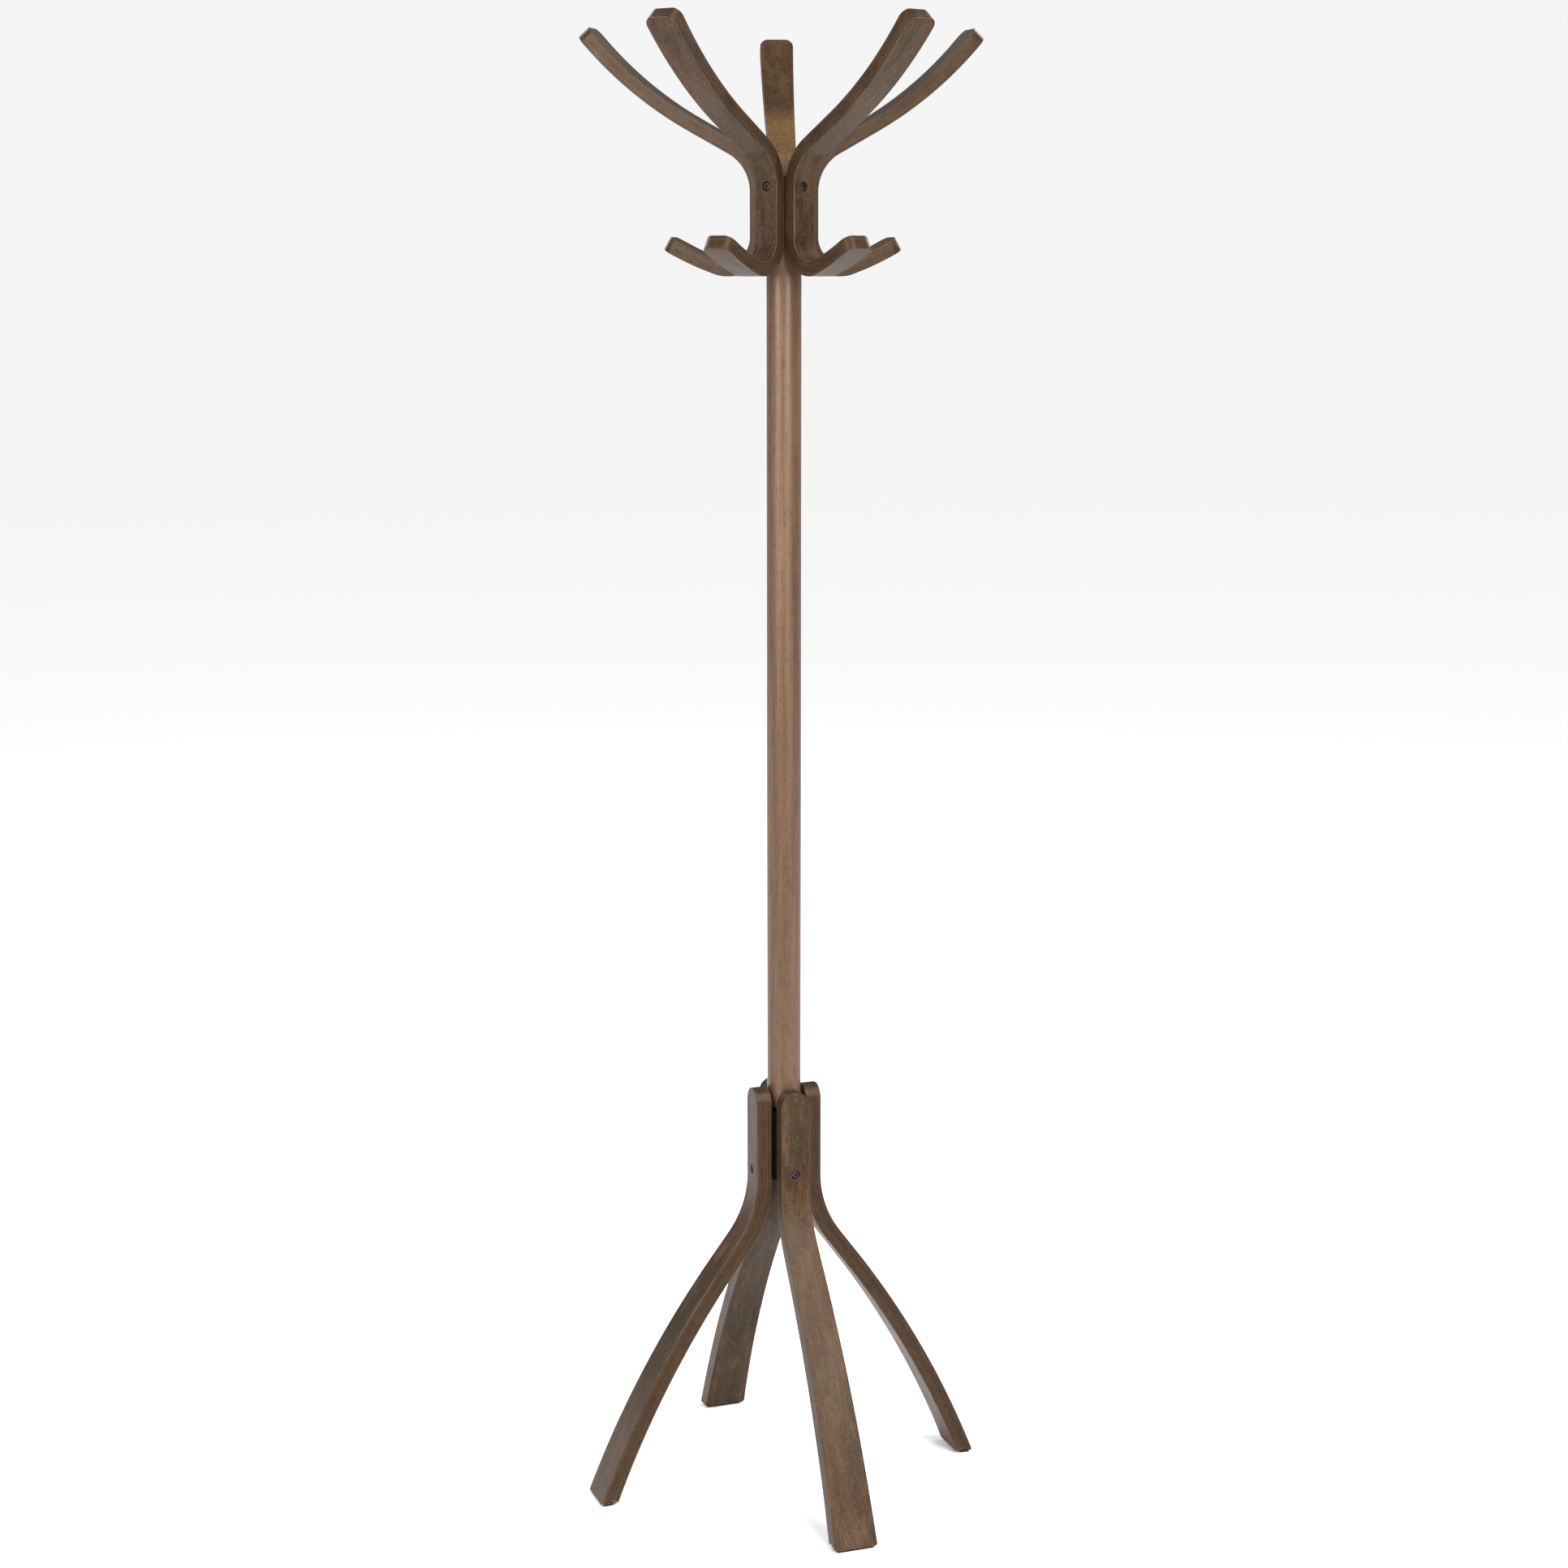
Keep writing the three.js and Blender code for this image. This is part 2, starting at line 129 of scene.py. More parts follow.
def look_at(obj, target):
    obj.rotation_euler = (target - obj.location).to_track_quat("-Z", "Y").to_euler()


def add_camera():
    camera = bpy.data.objects.new("camera", bpy.data.cameras.new("camera"))
    bpy.context.scene.collection.objects.link(camera)
    camera.data.lens = CAMERA_LENS
    camera.data.sensor_width = SENSOR_WIDTH
    camera.location = at_azimuth(CAMERA_AZIMUTH, CAMERA_DISTANCE, CAMERA_HEIGHT)
    look_at(camera, Vector((0, 0, CAMERA_AIM)))
    bpy.context.scene.camera = camera


def add_softbox(name, azimuth, distance, height, size, watts, target):
    """A rectangular light that points at the height `target` on the pole."""
    light = bpy.data.lights.new(name, "AREA")
    light.shape = "RECTANGLE"
    light.size, light.size_y = size
    light.energy = watts
    box = bpy.data.objects.new(name, light)
    bpy.context.scene.collection.objects.link(box)
    box.location = at_azimuth(azimuth, distance, height)
    box.visible_camera = False
    look_at(box, Vector((0, 0, target)))


def add_world():
    """A dim even fill, seen by the camera as pale paper that meets the floor without a horizon."""
    world = bpy.data.worlds.new("studio")
    world.use_nodes = True
    nodes, links = world.node_tree.nodes, world.node_tree.links
    fill = nodes["Background"]
    fill.inputs["Color"].default_value = WHITE
    fill.inputs["Strength"].default_value = FILL_STRENGTH
    paper = nodes.new("ShaderNodeBackground")
    paper.inputs["Color"].default_value = WHITE
    paper.inputs["Strength"].default_value = PAPER_STRENGTH
    choose = nodes.new("ShaderNodeMixShader")
    links.new(nodes.new("ShaderNodeLightPath").outputs["Is Camera Ray"], choose.inputs[0])
    links.new(fill.outputs[0], choose.inputs[1])
    links.new(paper.outputs[0], choose.inputs[2])
    links.new(choose.outputs[0], nodes["World Output"].inputs[0])
    bpy.context.scene.world = world


def add_lights():
    overhead = bpy.data.lights.new("overhead", "SUN")
    overhead.energy = 2.9
    overhead.angle = math.radians(38)
    lamp = bpy.data.objects.new("overhead", overhead)
    bpy.context.scene.collection.objects.link(lamp)
    lamp.location = at_azimuth(CAMERA_AZIMUTH + 42, 1.6, 2.6)
    look_at(lamp, Vector((0, 0, 0.3)))

    # two tall boxes either side of the camera draw the long highlights down the pole
    front = {"distance": 3.2, "height": 2.2, "target": 1.4}
    add_softbox("softbox_left", CAMERA_AZIMUTH - 40, size=(1.1, 2.0), watts=130, **front)
    add_softbox("softbox_right", CAMERA_AZIMUTH + 28, size=(0.8, 2.0), watts=108, **front)
    # and two weaker ones light the back from above
    back = {"distance": 2.8, "height": 2.9, "target": 0.8, "size": (1.4, 1.4), "watts": 40}
    add_softbox("softbox_back_left", CAMERA_AZIMUTH - 135, **back)
    add_softbox("softbox_back_right", CAMERA_AZIMUTH + 135, **back)


def add_floor():
    material = bpy.data.materials.new("floor")
    material.use_nodes = True
    shader = material.node_tree.nodes["Principled BSDF"]
    shader.inputs["Base Color"].default_value = FLOOR_COLOR
    shader.inputs["Roughness"].default_value = 0.9
    mesh = bpy.data.meshes.new("floor")
    corners = [(x * FLOOR_HALF, y * FLOOR_HALF, 0) for x, y in ((-1, -1), (1, -1), (1, 1), (-1, 1))]
    mesh.from_pydata(corners, [], [(0, 1, 2, 3)])
    mesh.materials.append(material)
    floor = bpy.data.objects.new("floor", mesh)
    bpy.context.scene.collection.objects.link(floor)


# ------------------------------------------------------------------ material nodes


class Tree:
    """A short way to write a material's node tree. Values and sockets can both be fed to a node."""

    def __init__(self, name):
        self.material = bpy.data.materials.new(name)
        self.material.use_nodes = True
        self.nodes = self.material.node_tree.nodes
        self.links = self.material.node_tree.links
        self.shader = self.nodes["Principled BSDF"]

    def feed(self, socket, value):
        if isinstance(value, bpy.types.NodeSocket):
            self.links.new(value, socket)
        elif value is not None:
            socket.default_value = value

    def attribute(self, name):
        node = self.nodes.new("ShaderNodeAttribute")
        node.attribute_name = name
        return node

    def place(self):
        return self.nodes.new("ShaderNodeTexCoord").outputs["Object"]

    def math(self, operation, a, b=None, c=None, clamp=False):
        node = self.nodes.new("ShaderNodeMath")
        node.operation = operation
        node.use_clamp = clamp
        for socket, value in zip(node.inputs, (a, b, c)):
            self.feed(socket, value)
        return node.outputs[0]

    def scaled(self, vector, scale, offset=(0, 0, 0)):
        """The vector in noise cells: the scale says how many there are to a metre on each axis."""
        node = self.nodes.new("ShaderNodeMapping")
        self.feed(node.inputs["Vector"], vector)
        node.inputs["Scale"].default_value = scale
        node.inputs["Location"].default_value = offset
        return node.outputs[0]

    def split(self, vector):
        node = self.nodes.new("ShaderNodeSeparateXYZ")
        self.feed(node.inputs[0], vector)
        return node.outputs

    def noise(self, vector, detail=3.0, roughness=0.55, distortion=0.0):
        node = self.nodes.new("ShaderNodeTexNoise")
        self.feed(node.inputs["Vector"], vector)
        node.inputs["Scale"].default_value = 1.0
        node.inputs["Detail"].default_value = detail
        node.inputs["Roughness"].default_value = roughness
        node.inputs["Distortion"].default_value = distortion
        return node.outputs["Fac"]

    def span(self, value, low, high, to_low=0.0, to_high=1.0):
        """Goes smoothly from `to_low` to `to_high` while the value goes from `low` to `high`."""
        node = self.nodes.new("ShaderNodeMapRange")
        node.interpolation_type = "SMOOTHSTEP"
        for socket, v in zip(node.inputs, (value, low, high, to_low, to_high)):
            self.feed(socket, v)
        return node.outputs[0]

    def ramp(self, value, stops):
        node = self.nodes.new("ShaderNodeValToRGB")
        self.feed(node.inputs[0], value)
        elements = node.color_ramp.elements
        while len(elements) < len(stops):
            elements.new(1.0)
        for element, (position, color) in zip(elements, stops):
            element.position = position
            element.color = (*color, 1)
        return node.outputs[0]

    def mix(self, factor, a, b):
        node = self.nodes.new("ShaderNodeMix")
        node.data_type = "RGBA"
        colors = [s for s in node.inputs if s.type == "RGBA"]
        self.feed(node.inputs[0], factor)
        for socket, value in zip(colors, (a, b)):
            self.feed(socket, (*value, 1) if isinstance(value, tuple) else value)
        return next(s for s in node.outputs if s.type == "RGBA")

    def bump(self, height, strength, distance):
        node = self.nodes.new("ShaderNodeBump")
        node.inputs["Strength"].default_value = strength
        node.inputs["Distance"].default_value = distance
        self.feed(node.inputs["Height"], height)
        return node.outputs[0]

    def finish(self, color, roughness, normal, uniform=None):
        """Feeds the shader. The uniform values are set on its own sockets, by name."""
        self.feed(self.shader.inputs["Base Color"], color)
        self.feed(self.shader.inputs["Roughness"], roughness)
        self.feed(self.shader.inputs["Normal"], normal)
        for name, value in (uniform or {}).items():
            self.shader.inputs[name].default_value = value
        return self.material


# ------------------------------------------------------------------ materials

# linear colours: the stain on the strips' faces, the plies on their flanks, the pole
STAIN_DARK = (0.0090, 0.0046, 0.0023)
STAIN_MID = (0.0295, 0.0158, 0.0082)
STAIN_LIGHT = (0.0760, 0.0435, 0.0235)
STAIN_RED = (0.0430, 0.0165, 0.0065)
STAIN_OLIVE = (0.0270, 0.0180, 0.0070)
STAIN_GOLD = (0.0900, 0.0540, 0.0220)
# the next two colours are painted light: a golden lit stretch over one arm's upper bend
PAINTED_LIGHT_HONEY = (0.1000, 0.0560, 0.0190)
PAINTED_LIGHT_AMBER = (0.2000, 0.1150, 0.0420)
SHEEN_TINT = (1.0, 0.82, 0.67, 1)  # the stained lacquer's gloss is warm
# the arrises' light colour: partly worn through the stain, partly a painted highlight
RUBBED_EDGE_AND_HIGHLIGHT = (0.400, 0.275, 0.180)
PLY_DARK = (0.0110, 0.0056, 0.0028)
PLY_MID = (0.0270, 0.0145, 0.0074)
PLY_TAN = (0.0600, 0.0330, 0.0155)
PLY_LINE = (0.1050, 0.0600, 0.0290)
PLY_COUNT = 13

BEECH_DEEP = (0.0420, 0.0215, 0.0118)
BEECH_MID = (0.0730, 0.0390, 0.0220)
BEECH_PALE = (0.1250, 0.0720, 0.0420)
BEECH_RED = (0.0950, 0.0400, 0.0215)
BEECH_FLECK = (0.0260, 0.0125, 0.0068)

BLACK_STEEL_LIGHT, BLACK_STEEL_DARK = (0.045, 0.045, 0.048), (0.016, 0.016, 0.017)
ZINC_LIGHT, ZINC_DARK = (0.60, 0.61, 0.62), (0.45, 0.46, 0.48)

KNOT_DOWN = 57 * MM  # from the top of the first leg
KNOT_ACROSS = -11.5 * MM
KNOT_HALF_WIDTH, KNOT_HALF_HEIGHT = 3.2 * MM, 4.8 * MM
KNOT_RED = (0.075, 0.028, 0.013)

# where the golden stretch of painted light lies
HONEY_ARM = 1  # the arm with a golden stretch over its upper bend
HONEY_FROM, HONEY_TO = 200 * MM, 350 * MM  # where it is, from the arm's lower tip
HONEY_FADE_IN, HONEY_FADE_OUT = 30 * MM, 60 * MM

GRAIN_STEP_ACROSS, GRAIN_STEP_ALONG = 0.11, 1.7


def shift_of(index):
    """How far a strip is moved through the grain, across and along, so that no two look alike.

    The legs come first, and the arms after them."""
    return GRAIN_STEP_ACROSS * (index + 1), GRAIN_STEP_ALONG * (index + 1)


def walnut_ply():
    """Dark walnut stain on pressed plywood: mottled faces, plies on the flanks, rubbed arrises that
    also carry a painted highlight.

    The strip attribute holds (across, through, along) in metres, and the arris and flank attributes
    say how much of a rounded edge or a cut flank the surface is."""
    t = Tree("walnut_ply")
    strip = t.attribute("strip").outputs["Vector"]
    across, through, along = t.split(strip)[0:3]
    arris = t.attribute("arris").outputs["Fac"]
    flank = t.attribute("flank").outputs["Fac"]

    bands = t.noise(t.scaled(strip, (42, 42, 6.5)), detail=3, roughness=0.5, distortion=0.6)
    mottle = t.noise(t.scaled(strip, (60, 60, 24)), detail=6, roughness=0.66)
    patches = t.noise(t.scaled(strip, (26, 26, 7), (3, 5, 9)), detail=3)
    rays = t.noise(t.scaled(strip, (260, 260, 55), (7, 2, 4)), detail=3, roughness=0.6, distortion=0.8)
    speckle = t.noise(t.scaled(strip, (330, 330, 270)), detail=5, roughness=0.8)
    grain = t.noise(t.scaled(strip, (430, 430, 24)), detail=4, roughness=0.68)
    pores = t.noise(t.scaled(strip, (1500, 1500, 130)), detail=1, roughness=0.5)

    # broad faces: slow bands, red and olive patches, golden rays, speckle, grain and open pores
    tone = t.math("MULTIPLY_ADD", bands, 0.45, t.math("MULTIPLY", mottle, 0.55))
    face = t.ramp(tone, [(0.36, STAIN_DARK), (0.50, STAIN_MID), (0.64, STAIN_LIGHT)])
    face = t.mix(t.span(patches, 0.46, 0.66, 0.0, 0.50), face, STAIN_RED)
    face = t.mix(t.span(patches, 0.34, 0.50, 0.50, 0.0), face, STAIN_OLIVE)
    face = t.mix(t.span(rays, 0.56, 0.70, 0.0, 0.45), face, STAIN_GOLD)
    face = t.mix(t.span(speckle, 0.50, 0.66, 0.0, 0.52), face, STAIN_LIGHT)
    face = t.mix(t.span(speckle, 0.34, 0.49, 0.52, 0.0), face, STAIN_DARK)
    face = t.mix(t.span(grain, 0.48, 0.68, 0.0, 0.34), face, STAIN_LIGHT)
    face = t.mix(t.span(grain, 0.32, 0.46, 0.36, 0.0), face, STAIN_DARK)
    face = t.mix(t.span(pores, 0.58, 0.68, 0.0, 0.45), face, STAIN_DARK)
    # a golden stretch of painted light over one arm's upper bend
    face = painted_light_stretch(t, face, along, speckle)
    face = knotted(t, face, across, along, rays)

    # flanks: one band for each ply, light and dark in turn, with thin broken light lines between
    ply = t.math("MULTIPLY", through, PLY_COUNT / ARM_THICKNESS)
    wander = t.noise(t.scaled(strip, (0, 120, 9)), detail=2)
    ply = t.math("ADD", ply, t.math("MULTIPLY", wander, 0.6))
    which = t.math("FLOOR", ply)
    within = t.math("SUBTRACT", ply, which)
    tint = t.nodes.new("ShaderNodeTexWhiteNoise")
    tint.noise_dimensions = "1D"
    t.feed(tint.inputs["W"], which)
    alternate = t.math("PINGPONG", which, 1.0)
    ply_tone = t.math("MULTIPLY_ADD", tint.outputs["Value"], 0.30, t.math("MULTIPLY", alternate, 0.22))
    ply_tone = t.math("MULTIPLY_ADD", mottle, 0.55, ply_tone)
    side = t.ramp(ply_tone, [(0.25, PLY_DARK), (0.55, PLY_MID), (0.95, PLY_TAN)])
    glue = t.math("ABSOLUTE", t.math("SUBTRACT", within, 0.5))
    broken = t.span(rays, 0.40, 0.62, 0.15, 0.75)
    side = t.mix(t.math("MULTIPLY", t.span(glue, 0.34, 0.47), broken), side, PLY_LINE)
    side = t.mix(t.span(grain, 0.48, 0.70, 0.0, 0.35), side, PLY_DARK)
    side = t.mix(t.span(speckle, 0.50, 0.68, 0.0, 0.50), side, PLY_TAN)
    side = t.mix(t.span(speckle, 0.32, 0.48, 0.45, 0.0), side, PLY_DARK)
    color = t.mix(flank, face, side)

    # arrises rubbed through the stain, unevenly; the same light colour is also a painted highlight
    # along them
    uneven = t.noise(t.scaled(strip, (60, 60, 26)), detail=3)
    rubbed_and_highlight = t.math("MULTIPLY", t.span(arris, 0.35, 0.95), t.span(uneven, 0.30, 0.60, 0.35, 1.0))
    color = t.mix(rubbed_and_highlight, color, RUBBED_EDGE_AND_HIGHLIGHT)

    height = t.math("MULTIPLY_ADD", pores, -0.7, t.math("MULTIPLY", grain, 0.4))
    height = t.math("MULTIPLY_ADD", speckle, 0.5, height)
    normal = t.bump(height, 0.30, 0.25 * MM)
    roughness = t.span(mottle, 0.3, 0.7, 0.36, 0.48)
    gloss = {"Specular IOR Level": 0.20, "Specular Tint": SHEEN_TINT}
    return t.finish(color, roughness, normal, gloss)


def painted_light_stretch(t, color, along, speckle):
    """A golden stretch of painted light over one arm's upper bend."""
    shift = shift_of(LEG_COUNT + HONEY_ARM)[1]
    start, end = shift + HONEY_FROM, shift + HONEY_TO
    rise = t.span(along, start, start + HONEY_FADE_IN, 0.0, 0.85)
    fall = t.span(along, end - HONEY_FADE_OUT, end, 1.0, 0.0)
    honey = t.mix(t.span(speckle, 0.35, 0.65), PAINTED_LIGHT_HONEY, PAINTED_LIGHT_AMBER)
    return t.mix(t.math("MULTIPLY", rise, fall), color, honey)


def knotted(t, color, across, along, wobble):
    """The one knot, on the front leg's outer face: a dark heart in a reddish ring."""
    shift_across, shift_along = shift_of(0)
    x = t.math("SUBTRACT", across, KNOT_ACROSS + shift_across)
    y = t.math("SUBTRACT", along, KNOT_DOWN + shift_along)
    x = t.math("DIVIDE", x, KNOT_HALF_WIDTH)
    y = t.math("DIVIDE", y, KNOT_HALF_HEIGHT)
    reach = t.math("SQRT", t.math("ADD", t.math("MULTIPLY", x, x), t.math("MULTIPLY", y, y)))
    reach = t.math("ADD", reach, t.math("MULTIPLY_ADD", wobble, 0.9, -0.45))
    ring = t.math("SUBTRACT", 1.0, t.math("ABSOLUTE", t.math("SUBTRACT", reach, 1.0)), clamp=True)
    color = t.mix(t.span(ring, 0.45, 1.0, 0.0, 0.42), color, KNOT_RED)
    return t.mix(t.span(reach, 0.25, 1.0, 0.6, 0.0), color, STAIN_DARK)


def pole_beech():
    """Stained beech: red-brown with red and dark blotches, and short dark flecks along the pole."""
    t = Tree("pole_beech")
    place = t.place()
    bands = t.noise(t.scaled(place, (55, 55, 1.6)), detail=3, roughness=0.5)
    flecks = t.noise(t.scaled(place, (380, 380, 190)), detail=4, roughness=0.72)
    blotches = t.noise(t.scaled(place, (150, 150, 34), (4, 1, 6)), detail=4, roughness=0.65)
    grain = t.noise(t.scaled(place, (420, 420, 9)), detail=3, roughness=0.6)
    tone = t.math("MULTIPLY_ADD", bands, 0.6, t.math("MULTIPLY", grain, 0.4))
    color = t.ramp(tone, [(0.32, BEECH_DEEP), (0.50, BEECH_MID), (0.70, BEECH_PALE)])
    color = t.mix(t.span(blotches, 0.50, 0.68, 0.0, 0.55), color, BEECH_RED)
    color = t.mix(t.span(blotches, 0.32, 0.48, 0.50, 0.0), color, BEECH_DEEP)
    color = t.mix(t.span(flecks, 0.54, 0.68, 0.0, 0.60), color, BEECH_FLECK)
    color = t.mix(t.span(flecks, 0.30, 0.44, 0.40, 0.0), color, BEECH_PALE)
    height = t.math("MULTIPLY_ADD", flecks, -0.5, t.math("MULTIPLY", grain, 0.4))
    normal = t.bump(height, 0.16, 0.2 * MM)
    roughness = t.span(bands, 0.3, 0.7, 0.32, 0.42)
    gloss = {"Specular IOR Level": 0.50, "Specular Tint": SHEEN_TINT}
    return t.finish(color, roughness, normal, gloss)


def plain_beech():
    """Bare beech for the hidden dowels."""
    t = Tree("plain_beech")
    place = t.place()
    grain = t.noise(t.scaled(place, (500, 500, 500)), detail=3)
    flecks = t.noise(t.scaled(place, (900, 900, 300)), detail=2)
    color = t.ramp(grain, [(0.3, (0.46, 0.29, 0.15)), (0.7, (0.66, 0.46, 0.26))])
    color = t.mix(t.span(flecks, 0.58, 0.68, 0.0, 0.6), color, (0.30, 0.17, 0.08))
    return t.finish(color, t.span(grain, 0.3, 0.7, 0.6, 0.75), t.bump(grain, 0.2, 0.1 * MM))


def metal(name, light, dark, rough_low, rough_high, metallic):
    """Steel with fine turned marks and slight handling marks."""
    t = Tree(name)
    place = t.place()
    marks = t.noise(t.scaled(place, (900, 900, 900)), detail=3)
    wear = t.noise(t.scaled(place, (240, 240, 240)), detail=2)
    color = t.mix(t.span(wear, 0.45, 0.75), dark, light)
    roughness = t.span(marks, 0.3, 0.7, rough_low, rough_high)
    return t.finish(color, roughness, t.bump(marks, 0.12, 0.05 * MM), {"Metallic": metallic})


def near_black():
    """Almost black, with a slight dimpled bump and little gloss, for the block between the legs."""
    t = Tree("black_hub")
    peel = t.noise(t.scaled(t.place(), (420, 420, 420)), detail=2)
    color = t.mix(t.span(peel, 0.4, 0.7), (0.0006, 0.0006, 0.0006), (0.0018, 0.0017, 0.0017))
    normal = t.bump(peel, 0.25, 0.12 * MM)
    roughness = t.span(peel, 0.3, 0.7, 0.6, 0.75)
    return t.finish(color, roughness, normal, {"Specular IOR Level": 0.03})


def black_pad():
    """Matt black rubber."""
    t = Tree("black_pad")
    nap = t.noise(t.scaled(t.place(), (1500, 1500, 1500)), detail=3)
    color = t.mix(nap, (0.004, 0.004, 0.004), (0.016, 0.016, 0.016))
    return t.finish(color, t.span(nap, 0.3, 0.7, 0.8, 0.95), t.bump(nap, 0.4, 0.15 * MM))


# ------------------------------------------------------------------ meshes


def mesh_of(name, vertices, faces):
    mesh = bpy.data.meshes.new(name)
    mesh.from_pydata([tuple(v) for v in vertices], [], faces)
    mesh.validate()
    return mesh


def turn_faces_out(mesh):
    work = bmesh.new()
    work.from_mesh(mesh)
    bmesh.ops.recalc_face_normals(work, faces=work.faces)
    work.to_mesh(mesh)
    work.free()


def lathe(name, profile, sides, axis="Z", height=0.0):
    """A closed turned solid. The profile is (radius, along), from axis to axis, along +Z or +X."""
    vertices, faces, rings = [], [], []
    for radius, along in profile:
        if radius < 1e-7:
            rings.append([len(vertices)])
            vertices.append((0, 0, along))
            continue
        rings.append(list(range(len(vertices), len(vertices) + sides)))
        for i in range(sides):
            angle = 2 * math.pi * i / sides
            vertices.append((radius * math.cos(angle), radius * math.sin(angle), along))
    for a, b in zip(rings, rings[1:]):
        for i in range(sides):
            j = (i + 1) % sides
            ring = [a[i % len(a)], a[j % len(a)], b[j % len(b)], b[i % len(b)]]
            faces.append(list(dict.fromkeys(ring)))
    mesh = mesh_of(name, vertices, faces)
    if axis == "X":
        mesh.transform(Matrix.Translation((0, 0, height)) @ Matrix.Rotation(math.pi / 2, 4, "Y"))
    turn_faces_out(mesh)
    return mesh


def drill(name, radius, start, end, axis="Z", height=0.0, sides=48):
    """A round cutter along +Z or +X."""
    profile = [(0, start), (radius, start), (radius, end), (0, end)]
    return lathe(name, profile, sides, axis, height)


def joined(meshes):
    """Several closed meshes as one, for cutting."""
    work = bmesh.new()
    for mesh in meshes:
        work.from_mesh(mesh)
    whole = bpy.data.meshes.new("cutters")
    work.to_mesh(whole)
    work.free()
    return whole


def subtract(mesh, cutters):
    """The mesh with the cutters' volume taken away."""
    scene = bpy.context.scene
    body = bpy.data.objects.new("cut_body", mesh)
    tool = bpy.data.objects.new("cut_tool", joined(cutters))
    scene.collection.objects.link(body)
    scene.collection.objects.link(tool)
    modifier = body.modifiers.new("cut", "BOOLEAN")
    modifier.object = tool
    modifier.operation = "DIFFERENCE"
    modifier.solver = "EXACT"
    evaluated = body.evaluated_get(bpy.context.evaluated_depsgraph_get())
    result = bpy.data.meshes.new_from_object(evaluated)
    for obj in (body, tool):
        bpy.data.objects.remove(obj)
    return result


def turned(mesh, azimuth):
    """A copy of a mesh drawn pointing along +X, turned to point to an azimuth."""
    copy = mesh.copy()
    copy.transform(Matrix.Rotation(math.radians(azimuth - 90), 4, "Z"))
    return copy


# ------------------------------------------------------------------ bent strips


class Centreline:
    """A line of arcs and straights in the (r, z) plane. A positive turn is to the left."""

    def __init__(self, start, heading, shape):
        self.parts = []
        r, z = start
        done = 0.0
        for size, turn in shape:
            angle = math.radians(turn)
            length = size * abs(angle) if turn else size
            self.parts.append((done, length, r, z, heading, angle / length))
            r, z, heading = self._move(length, r, z, heading, angle / length)
            done += length
        self.length = done

    @staticmethod
    def _move(step, r, z, heading, curvature):
        if abs(curvature) < 1e-9:
            return r + step * math.cos(heading), z + step * math.sin(heading), heading
        after = heading + step * curvature
        r += (math.sin(after) - math.sin(heading)) / curvature
        z -= (math.cos(after) - math.cos(heading)) / curvature
        return r, z, after

    def at(self, distance):
        """(r, z, heading) at a distance along the line."""
        part = next(p for p in reversed(self.parts) if distance >= p[0] - 1e-9)
        return self._move(distance - part[0], *part[2:])

    def stations(self, turn_step=3.0, longest=14 * MM):
        """Distances that follow the curve closely: a few degrees or millimetres apart."""
        found = [0.0]
        for part in self.parts:
            done, length, curvature = part[0], part[1], part[5]
            turn = math.degrees(abs(curvature) * length)
            steps = max(1, math.ceil(turn / turn_step), math.ceil(length / longest))
            found += [done + length * (i + 1) / steps for i in range(steps)]
        return found

    def reach_down_to(self, height):
        """The distance at which the line first comes down to a height."""
        return next(d for d in np.linspace(0, self.length, 2000) if self.at(d)[1] <= height)


def arc_drop(distance, radius):
    """How far a rounded corner has drawn in, `distance` from the end it rounds."""
    if distance >= radius:
        return 0.0
    short = radius - max(distance, 0.0)
    return radius - math.sqrt(max(radius * radius - short * short, 0.0))


def end_distances(radius, steps):
    """Distances from a rounded end that draw its corner in equal steps of angle."""
    return [radius * (1 - math.cos(math.pi / 2 * i / steps)) for i in range(1, steps + 1)]


CLOSEST_RINGS = 0.08 * MM


